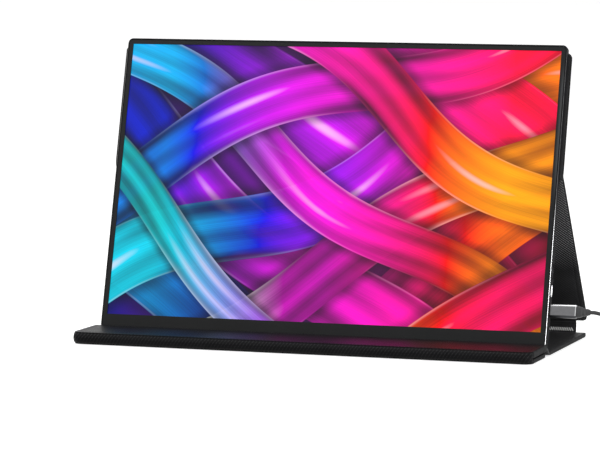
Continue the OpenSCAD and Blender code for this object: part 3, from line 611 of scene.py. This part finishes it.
def outline(width, length, inset, round_ends, corner):
    """A section's plan as a ring of (x, y), with arcs at its corners and stops along its sides."""
    corners = []
    for sx, end, start in ((1, 0, -90), (1, 1, 0), (-1, 1, 90), (-1, 0, 180)):
        radius = max((corner if end in round_ends else SQUARE_R) - inset, 0.15 * MM)
        centre = (sx * (width / 2 - inset - radius), inset + radius if end == 0 else length - inset - radius)
        corners.append([
            (centre[0] + radius * math.cos(math.radians(start + 90 * k / CORNER_STEPS)),
             centre[1] + radius * math.sin(math.radians(start + 90 * k / CORNER_STEPS)))
            for k in range(CORNER_STEPS + 1)
        ])
    x = width / 2 - inset
    low, high = corners[0][-1][1], corners[1][0][1]
    reach = corner + 0.2 * MM
    stops = [reach + s for s in SIDE_STOPS] + [length / 2]
    stops += [length - reach - s for s in reversed(SIDE_STOPS)]
    if length < SHORT_SECTION:
        stops = [length * f for f in (0.3, 0.5, 0.7)]
    stops = [min(max(s, low + 0.01 * MM), high - 0.01 * MM) for s in stops]
    right = [(x, s) for s in stops]
    left = [(-x, s) for s in reversed(stops)]
    return corners[0] + right + corners[1] + corners[2] + left + corners[3]


def pinch(y, length, fold_ends, thin):
    """How thick the section is at y: pressed flat towards each fold line."""
    factor = 1.0
    for end in fold_ends:
        gap = y if end == 0 else length - y
        t = min(max(gap / HEM_W, 0), 1)
        factor = min(factor, thin + (1 - thin) * t * t * (3 - 2 * t))
    return factor


def section(name, body, place, width, length, thick, round_ends, fold_ends, start, thin=0.5, corner=CORNER_R,
            lining="lining_leather"):
    """One board section of the cover: its leather skin with a turned hem, and its lining panel.
    start is how far along the unfolded cover the section begins."""
    half = thick / 2
    # Each row's inset from the section's edge, and its height over the section's middle
    skin_rows = [
        (3.0 * MM, -half), (1.1 * MM, -half), (0.5 * MM, -half + 0.12 * MM),
        (0.12 * MM, -half + 0.45 * MM), (0, -half + 1.0 * MM), (0, half - 0.9 * MM),
        (0.14 * MM, half - 0.4 * MM), (0.55 * MM, half - 0.08 * MM), (1.1 * MM, half),
        (HEM_W - 1.0 * MM, half), (HEM_W - 0.5 * MM, half - 0.02 * MM),
        (HEM_W - 0.15 * MM, half - 0.12 * MM), (HEM_W - 0.05 * MM, half - 0.36 * MM),
    ]
    panel_rows = [
        (HEM_W + 0.4 * MM, half - 0.4 * MM), (HEM_W + 0.02 * MM, half - 0.36 * MM),
        (HEM_W + 0.05 * MM, half - 0.14 * MM), (HEM_W + 0.4 * MM, half - 0.03 * MM),
        (HEM_W + 1.0 * MM, half - 0.01 * MM), (HEM_W + 2.0 * MM, half),
    ]
    hem_row = 7
    for part, rows, finish in (("skin", skin_rows, "outer_leather"), ("panel", panel_rows, lining)):
        rings = []
        for inset, z in rows:
            ring = outline(width, length, inset, round_ends, corner)
            rings.append([Vector((x, y, z * pinch(y, length, fold_ends, thin))) for x, y in ring])
        vertices, faces = loft(rings)
        places = [(v.x, v.y + start, v.z) for v in vertices]
        sides = range(len(faces) - 2)
        turned = [int(part == "skin" and k // len(rings[0]) >= hem_row) for k in sides] + [0, 1]
        piece = new_piece(f"{name}_{part}", vertices, faces, [finish, lining], turned, places, place,
                          smooth=35)
        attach(piece, body)
    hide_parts(f"{name}_leather")
    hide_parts(f"{name}_lining")


def band(name, path, width, thick, start):
    """A strip of leather that follows a path of (y, z) points and runs across the cover."""
    points = [Vector(p) for p in path]
    run, lengths = 0.0, [0.0]
    for a, b in zip(points, points[1:]):
        run += (b - a).length
        lengths.append(run)
    sides = []
    for i, p in enumerate(points):
        ahead = points[min(i + 1, len(points) - 1)] - points[max(i - 1, 0)]
        ahead.normalize()
        sides.append(Vector((-ahead[1], ahead[0])))
    half = thick / 2
    loop = [(i, half) for i in range(len(points))] + [(i, -half) for i in reversed(range(len(points)))]
    stations = [(-width / 2, 0.35), (-width / 2 + 0.25 * MM, 0.8), (-width / 2 + 0.8 * MM, 1.0)]
    stations += [(-width / 2 + width * k / BOARD_SPACES, 1.0) for k in range(1, BOARD_SPACES)]
    stations += [(-x, f) for x, f in reversed(stations[:3])]
    rings, places = [], []
    for x, factor in stations:
        ring = []
        for i, offset in loop:
            spot = points[i] + sides[i] * offset * factor
            ring.append(Vector((x, spot[0], spot[1])))
            places.append((x, start + lengths[i], offset * factor))
        rings.append(ring)
    vertices, faces = loft(rings)
    return new_piece(name, vertices, faces, ["lining_leather"], places=places, smooth=50)


def bent_path(first, corner, last, steps=14):
    """A smooth bend from one point to another, drawn toward the corner between them."""
    points = []
    for k in range(steps + 1):
        t = k / steps
        points.append(first * (1 - t) ** 2 + corner * 2 * t * (1 - t) + last * t * t)
    return points


def fold(name, node, middle, angle_in, angle_out, width, thick, start):
    """The leather over one fold line, between two sections' ends."""
    reach = FOLD_GAP + 0.6 * MM
    first = middle - reach * along(angle_in)
    last = middle + reach * along(angle_out)
    piece = band(name, bent_path(first, middle, last), width, thick, start)
    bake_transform(piece)
    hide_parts(node)


def stitches(name, body, place, row, start):
    """A close row of slanted stitches between two points, in the section's own axes."""
    vertices, faces, places = [], [], []
    pitch, length, radius, slant = 1.8 * MM, 3.6 * MM, 0.48 * MM, 1.8
    # Along the stitch, its thickness, and how deep it sinks into the leather, as shares
    profile = ((-0.5, 0.3, 0.75), (-0.38, 0.85, 0.25), (0.0, 1.0, 0.0), (0.38, 0.85, 0.25), (0.5, 0.3, 0.75))
    turns = [math.radians(60 * j) for j in range(6)]
    first, last = Vector(row[0]), Vector(row[1])
    direction = (last - first).normalized()
    across = direction.cross(Vector((0, 0, 1)))
    axis = (direction + across * slant).normalized()
    side = axis.cross(Vector((0, 0, 1))).normalized()
    up = side.cross(axis)
    count = int((last - first).length / pitch)
    for k in range(count):
        centre = first + (last - first) * (k + 0.5) / count
        rings = []
        for s, r, sink in profile:
            middle = centre + axis * length * s - up * radius * sink * 1.2
            rings.append([middle + radius * r * (side * math.cos(a) + up * math.sin(a)) for a in turns])
        more, more_faces = loft(rings)
        offset = len(vertices)
        vertices += more
        faces += [tuple(offset + i for i in face) for face in more_faces]
        places += [(v.x, v.y + start, v.z) for v in more]
    piece = new_piece(name, vertices, faces, ["stitch_thread"], places=places, place=place, smooth=60)
    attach(piece, body)


# The cover, from the tuck flap to the upper panel

# Where each piece begins along the unfolded cover, in metres. The leather's pattern follows it.
COVER_START = {
    "flap": 0.0, "nose": 0.08, "front": 0.1, "step_front": 0.18, "step_rear": 0.19, "base": 0.2,
    "base_crease": 0.33, "spine": 0.35, "leg_crease": 0.37, "leg": 0.4, "upper_crease": 0.58, "upper": 0.6,
}
CREASE_T = 1.7 * MM
UPPER_CREASE_T = 3.1 * MM
LEG_PINCH = 0.85

def span(node):
    """Width, and the near and far end along Y, of a flat section's solid."""
    low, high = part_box(node)
    return high.x - low.x, low.y, high.y


def add_cover():
    width, base_near, base_far = span("base_leather")
    _, front_near, front_far = span("front_leather")
    _, flap_near, flap_far = span("flap_leather")
    front_low, front_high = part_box("front_leather")
    front_z = (front_low.z + front_high.z) / 2
    spine_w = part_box("spine_leather")[1].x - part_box("spine_leather")[0].x
    spine_l = (LEG_PIVOT - BASE_PIVOT).length - 2 * FOLD_GAP
    leg_l = (UPPER_PIVOT - LEG_PIVOT).length - 2 * FOLD_GAP
    upper_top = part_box("upper_leather")[1].z
    upper_l = (upper_top - UPPER_PIVOT[1] - PANEL_T / 2 * math.sin(LEAN)) / math.sin(UPRIGHT) - FOLD_GAP

    base_at = at_side((base_near, PANEL_T / 2), 0)
    front_at = at_side((front_near, front_z + FRONT_PAD / 2), 0)
    flap_at = at_side((flap_far + FLAP_REACH, FLAP_T / 2), math.pi)
    spine_at = at_side(BASE_PIVOT + FOLD_GAP * along(SPINE_ANGLE), SPINE_ANGLE)
    leg_at = at_side(LEG_PIVOT + FOLD_GAP * along(LEG_ANGLE), LEG_ANGLE)
    upper_at = at_side(UPPER_PIVOT + FOLD_GAP * along(UPRIGHT), UPRIGHT)

    start = COVER_START
    section("base", "base", base_at, width, base_far - base_near, PANEL_T, [1], [0, 1], start["base"])
    section("front", "front_section", front_at, width, front_far - front_near, PANEL_T + FRONT_PAD, [0], [],
            start["front"], corner=FRONT_CORNER_R, lining="front_leather")
    section("flap", "tuck_flap", flap_at, width, flap_far - flap_near + FLAP_REACH, FLAP_T, [0, 1], [],
            start["flap"], corner=FRONT_CORNER_R)
    section("spine", "spine", spine_at, spine_w, spine_l, SPINE_T, [], [], start["spine"])
    section("leg", "leg", leg_at, width, leg_l, PANEL_T, [0], [0, 1], start["leg"], LEG_PINCH)
    section("upper", "monitor", upper_at, width, upper_l, PANEL_T, [1], [0], start["upper"], LEG_PINCH)

    for name, node, bodies, spot, angle_in, angle_out, wide, thick in (
        ("base_crease", "base_fold", ("base", "spine"), BASE_PIVOT, 0, SPINE_ANGLE, spine_w, CREASE_T),
        ("leg_crease", "leg_fold", ("spine", "leg"), LEG_PIVOT, SPINE_ANGLE, LEG_ANGLE, spine_w, CREASE_T),
        ("upper_crease", "upper_fold", ("leg", "monitor"), UPPER_PIVOT, LEG_ANGLE, UPRIGHT, width,
         UPPER_CREASE_T),
    ):
        fold(name, node, spot, angle_in, angle_out, wide, thick, start[name])
    # The light grey stitches at the spine's foot stand for a broken highlight along the fold: a painted
    # highlight
    zigzag = [(side * (spine_w / 2 - 2 * MM), 1.9 * MM, SPINE_T / 2) for side in (-1, 1)]
    stitches("spine_highlight_stitches", "spine", spine_at, zigzag, start["spine"])
    add_step(width)
    add_nose(width, front_near, front_high.z + FRONT_PAD)


def add_step(width):
    """The strip that steps up to the front section, in two halves that meet halfway up the step."""
    middle = (STEP_LOW + STEP_TOP) / 2
    reach = 1.7 * MM
    rear = bent_path(STEP_LOW + Vector((reach, 0)), STEP_LOW, middle, 10)
    front = bent_path(middle, STEP_TOP, STEP_TOP - Vector((reach, 0)), 10)
    rear_half = band("step_strip_rear", rear, width, STEP_T, COVER_START["step_rear"])
    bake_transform(rear_half)
    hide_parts("step_fold")
    front_half = band("step_strip_front", front, width, STEP_T, COVER_START["step_front"])
    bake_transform(front_half)


def add_nose(width, near, top):
    """The rounded front: leather that turns down to the tuck flap and follows the rounded corners."""
    thick = 1.2 * MM
    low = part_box("flap_leather")[0].z
    tip = cad_box[0].y + 0.05 * MM
    rear = near + 3.4 * MM
    middle_z = (top + low) / 2
    a, b = rear - tip, (top - low) / 2
    steps = 22
    stations = [0.4, 0.9, 1.7, 2.8, 4.2, 6.0, 9.0]
    edge_count = len(stations)
    stations = [-width / 2 + s * MM for s in stations]
    stations += [width * (k / BOARD_SPACES - 0.5) for k in range(1, BOARD_SPACES)]
    stations += [-x for x in reversed(stations[:edge_count])]
    rings, places = [], []
    for x in stations:
        out = max(abs(x) - (width / 2 - FRONT_CORNER_R), 0)
        back = FRONT_CORNER_R - math.sqrt(FRONT_CORNER_R ** 2 - out ** 2)
        ring = []
        for grow, order in ((0, range(steps + 1)), (thick, reversed(range(steps + 1)))):
            for k in order:
                angle = math.pi * k / steps
                ring.append(Vector((x, rear + back - (a - grow) * math.sin(angle),
                                    middle_z + (b - grow) * math.cos(angle))))
                places.append((x, COVER_START["nose"] + a * angle / 2, grow))
        rings.append(ring)
    vertices, faces = loft(rings)
    piece = new_piece("front_nose", vertices, faces, ["nose_leather"], places=places, smooth=50)
    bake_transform(piece)
    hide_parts("front_fold")


# Cable and plugs

CORD_D = 3.0 * MM
BOOT_L, BOOT_W, BOOT_T = 20.2 * MM, 10.2 * MM, 6.6 * MM
RELIEF_L = 10 * MM
BOOT_X = SIDE_X + 0.3 * MM
CORD_X = BOOT_X + BOOT_L + RELIEF_L
LAY_Z = CORD_D / 2 + 0.15 * MM
COIL_MID = Vector((290, -50)) * MM
COIL_R, COIL_STEP, COIL_RISE, COIL_TURNS = 27 * MM, 3.6 * MM, 3.6 * MM, 7
COIL_RINGS = 40
ROUTE_STEPS = 5
RING_STEPS = 6
PORT_SPOT = MONITOR @ Vector((0, PORT_DEPTH, PORT_LOWER_H))
# The cable's way down to the table and on to the far plug, in millimetres
LEAD_POINTS = ((219, -26, 30.5), (230, -27, 24), (242, -28, 15), (254, -27.5, 7.5), (266, -25.5, 3))
TAIL_POINTS = ((306, -22.5, 5.2), (316, -20, 4), (328, -15, 3.4), (336, -8, 3.4), (340, 0, 3.4),
               (341, 8, 3.4), (341, 12, 3.4))


def cable_route():
    """The cable's points: off the plug, down to the table, through the coil and on to the far plug."""
    start_x, end_x = COIL_MID[0] - CORD_D, COIL_MID[0] + CORD_D
    coil_y = COIL_MID[1] + COIL_R
    lead = [
        (CORD_X, PORT_SPOT.y, PORT_SPOT.z), (CORD_X + CORD_D, PORT_SPOT.y, PORT_SPOT.z),
        *[tuple(v * MM for v in p) for p in LEAD_POINTS],
        (276 * MM, -23.5 * MM, LAY_Z), (start_x - CORD_D, coil_y, LAY_Z), (start_x, coil_y, LAY_Z),
    ]
    coil = []
    for k in range(COIL_TURNS * COIL_RINGS + 1):
        turn, half = k / COIL_RINGS, COIL_TURNS / 2
        radius = COIL_R - COIL_STEP * (half - abs(turn - half))
        angle = math.radians(90 - 360 * turn)
        rise = COIL_RISE * max(0, min(1, 2 * (turn - half) + 0.5))
        spot = (COIL_MID[0] + radius * math.cos(angle), COIL_MID[1] + radius * math.sin(angle))
        coil.append((*spot, LAY_Z + rise))
    tail = [
        (end_x, coil_y, LAY_Z + COIL_RISE), (end_x + CORD_D, coil_y, LAY_Z + COIL_RISE),
        *[tuple(v * MM for v in p) for p in TAIL_POINTS],
    ]
    return smooth_route(lead), coil, smooth_route(tail)


def smooth_route(points):
    """A smooth run through a route's points, with straight ends."""
    points = [Vector(p) for p in points]
    made = []
    for i in range(len(points) - 1):
        b, c = points[i], points[i + 1]
        a, d = points[max(i - 1, 0)], points[min(i + 2, len(points) - 1)]
        for k in range(ROUTE_STEPS):
            t = k / ROUTE_STEPS
            if i in (0, len(points) - 2):
                made.append(b.lerp(c, t))
            else:
                made.append(0.5 * (2 * b + (c - a) * t + (2 * a - 5 * b + 4 * c - d) * t * t
                                   + (3 * b - a - 3 * c + d) * t ** 3))
    made.append(points[-1])
    return made


def add_cable():
    lead, coil, tail = cable_route()
    points = [*lead, *[Vector(p) for p in coil], *tail]
    route = [points[0]]
    for p in points[1:]:
        if (p - route[-1]).length > 0.3 * MM:
            route.append(p)
    curve = bpy.data.curves.new("cable", "CURVE")
    curve.dimensions = "3D"
    curve.bevel_depth = CORD_D / 2
    curve.bevel_resolution = 4
    curve.use_fill_caps = True
    spline = curve.splines.new("POLY")
    spline.points.add(len(route) - 1)
    for point, place in zip(spline.points, route):
        point.co = (*place, 1)
    spline.use_smooth = True
    curve.materials.append(MATERIALS["cable_rubber"])
    cable = bpy.data.objects.new("cable", curve)
    bpy.context.scene.collection.objects.link(cable)
    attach(cable, "monitor")
    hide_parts("cable_lead", "cable_coil", "cable_tail")
    length = sum((b - a).length for a, b in zip(route, route[1:]))
    near = add_plug("plug", MONITOR @ axes((BOOT_X, PORT_DEPTH, PORT_LOWER_H), (0, 0, 1), (1, 0, 0)))
    far = add_plug("far", axes(route[-1] + Vector((0, RELIEF_L + BOOT_L, 0)), (1, 0, 0), (0, -1, 0)))
    tuple(route[0])


def axes(origin, wide, out):
    """A plug's own axes: its wide side, its thin side, and out from its mouth toward the cord."""
    wide, out = Vector(wide), Vector(out)
    thin = out.cross(wide)
    turned = Matrix((wide, thin, out)).transposed().to_4x4()
    return Matrix.Translation(origin) @ turned


def rounded_ring(w, t, r, z):
    """A rounded rectangle of points, w wide, t thick and with corners of radius r, at height z."""
    ring = []
    for sx, sy, start in ((1, 1, 0), (-1, 1, 90), (-1, -1, 180), (1, -1, 270)):
        for k in range(RING_STEPS + 1):
            a = math.radians(start + 90 * k / RING_STEPS)
            ring.append(Vector((sx * (w / 2 - r) + r * math.cos(a), sy * (t / 2 - r) + r * math.sin(a), z)))
    return ring


def add_plug(prefix, place):
    """The plug's metal boot with its cut rims, and the tapered strain relief behind it. The boot's upper edge
    and rear band take a brighter metal as a painted highlight, its lower side a darker metal as painted
    shade.
    """
    cut = 0.5 * MM
    corner = 2.2 * MM
    # Each row's place along the boot, its inset, and 1 where the band from it takes the bright rim metal as a
    # painted highlight
    rows = [(0, cut, 0), (cut * 0.7, 0, 0), (BOOT_L - 0.9 * MM, 0, 1), (BOOT_L - 0.35 * MM, 0.2 * MM, 0),
            (BOOT_L, 0.8 * MM, 0)]
    rings = [rounded_ring(BOOT_W - 2 * inset, BOOT_T - 2 * inset, corner - inset, z) for z, inset, _ in rows]
    vertices, faces = loft(rings)
    count = len(rings[0])
    # Which of a ring's faces lie on the boot's upper edge, given a painted highlight, and on its lower side,
    # given painted shade
    highlight_edge_faces, shaded_lower_faces = (3, 4), range(8, 20)
    finish = []
    for i in range(count * (len(rows) - 1)):
        dark = i % count in shaded_lower_faces
        finish.append(2 if dark else max(rows[i // count][2], i % count in highlight_edge_faces))
    boot = new_piece(f"{prefix}_boot_metal", vertices, faces, ["boot_metal", "bright_rim", "key_metal"],
                     [*finish, 2, 2], place=place, smooth=30)
    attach(boot, "monitor")
    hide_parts(f"{prefix}_boot")
    rings = []
    steps = 16
    for k in range(steps + 1):
        t = k / steps
        ease = t ** 1.4
        w = (BOOT_W - 1.6 * MM) * (1 - ease) + (CORD_D + 1.2 * MM) * ease
        d = (BOOT_T - 1.0 * MM) * (1 - ease) + (CORD_D + 1.2 * MM) * ease
        groove = 0.35 * MM if k in (7, 8, 11, 12) else 0
        w, d = w - 2 * groove, d - 2 * groove
        r = min(w, d) / 2 * (0.62 + 0.36 * ease)
        rings.append(rounded_ring(w, d, r, BOOT_L + RELIEF_L * t))
    vertices, faces = loft(rings)
    relief = new_piece(f"{prefix}_relief_rubber", vertices, faces, ["cable_rubber"], place=place, smooth=50)
    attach(relief, "monitor")
    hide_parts(f"{prefix}_relief")
    return [boot, relief]


def add_port_mouth():
    """The free data port's mouth: a bright metal lip round a dark opening."""
    place = MONITOR @ axes((SIDE_X, PORT_DEPTH, PORT_UPPER_H), (0, 0, 1), (1, 0, 0))
    # Width, thickness and height over the shell's side, in millimetres
    lip = [(9.0, 3.0, -1.0), (9.0, 3.0, 0.0), (8.8, 2.8, 0.12), (7.9, 1.5, 0.12), (7.7, 1.3, 0.0),
           (7.7, 1.3, -2.0)]
    rings = [rounded_ring(w * MM, t * MM, 0.45 * t * MM, z * MM) for w, t, z in lip]
    vertices, faces = loft(rings)
    finish = [int(k // len(rings[0]) == len(lip) - 2) for k in range(len(faces) - 2)] + [0, 1]
    piece = new_piece("port_mouth", vertices, faces, ["port_metal", "jack_plastic"], finish, place=place)
    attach(piece, "monitor")
    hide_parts("port_upper")


# Studio

# Each lamp's name, place, side length and power
LAMPS = (
    ("key", (-1.2, -1.4, 2.0), 1.2, 20),
    ("fill", (1.7, -0.9, 0.45), 1.0, 24),
    ("top", (0.0, 0.6, 2.4), 1.6, 22),
)
LAMP_AIM = Vector((0, 0, 0.1))
FLOOR_HALF = 14
FLOOR_Z = -0.3 * MM
FLOOR_GLOW = 0.63
WORLD_LIGHT, WORLD_SEEN = 0.45, 0.55


def seen_rays(nodes):
    """1 for the rays that show the background, straight, mirrored or through glass, else 0."""
    rays = nodes.add("ShaderNodeLightPath").outputs
    other = nodes.math("MAXIMUM", rays["Is Glossy Ray"], rays["Is Transmission Ray"])
    return nodes.math("MAXIMUM", rays["Is Camera Ray"], other)


def add_stage():
    """A plain pale floor, a pale world, and soft lamps."""
    mesh = bpy.data.meshes.new("floor")
    corners = [(sx * FLOOR_HALF, sy * FLOOR_HALF, FLOOR_Z) for sx, sy in ((-1, -1), (1, -1), (1, 1), (-1, 1))]
    mesh.from_pydata(corners, [], [(0, 1, 2, 3)])
    floor = bpy.data.objects.new("floor", mesh)
    bpy.context.scene.collection.objects.link(floor)
    made, nodes, shader = material("floor")
    shader.inputs["Base Color"].default_value = (0.82, 0.82, 0.82, 1)
    shader.inputs["Roughness"].default_value = 0.7
    shader.inputs["Specular IOR Level"].default_value = 0.1
    glow = nodes.add("ShaderNodeEmission")
    nodes.feed(glow.inputs["Strength"], nodes.math("MULTIPLY", seen_rays(nodes), FLOOR_GLOW))
    total = nodes.add("ShaderNodeAddShader")
    nodes.link(shader.outputs[0], total.inputs[0])
    nodes.link(glow.outputs[0], total.inputs[1])
    output = next(n for n in made.node_tree.nodes if n.type == "OUTPUT_MATERIAL")
    nodes.link(total.outputs[0], output.inputs["Surface"])
    mesh.materials.append(made)

    world = bpy.data.worlds.new("studio")
    bpy.context.scene.world = world
    world.use_nodes = True
    nodes = Nodes(world.node_tree)
    background = nodes.add("ShaderNodeBackground")
    background.inputs["Color"].default_value = (1, 1, 1, 1)
    strength = nodes.math("MULTIPLY_ADD", seen_rays(nodes), WORLD_SEEN, WORLD_LIGHT)
    nodes.feed(background.inputs["Strength"], strength)
    output = nodes.add("ShaderNodeOutputWorld")
    nodes.link(background.outputs[0], output.inputs["Surface"])

    for name, spot, size, power in LAMPS:
        data = bpy.data.lights.new(name, "AREA")
        data.shape = "SQUARE"
        data.size = size
        data.energy = power
        lamp = bpy.data.objects.new(name, data)
        bpy.context.scene.collection.objects.link(lamp)
        lamp.location = spot
        lamp.rotation_euler = (Vector(spot) - LAMP_AIM).to_track_quat("Z", "Y").to_euler()


bpy.context.scene.view_settings.view_transform = "Standard"
add_camera()
dress_cad_nodes()
add_cable()
add_port_mouth()
add_cover()
add_stage()
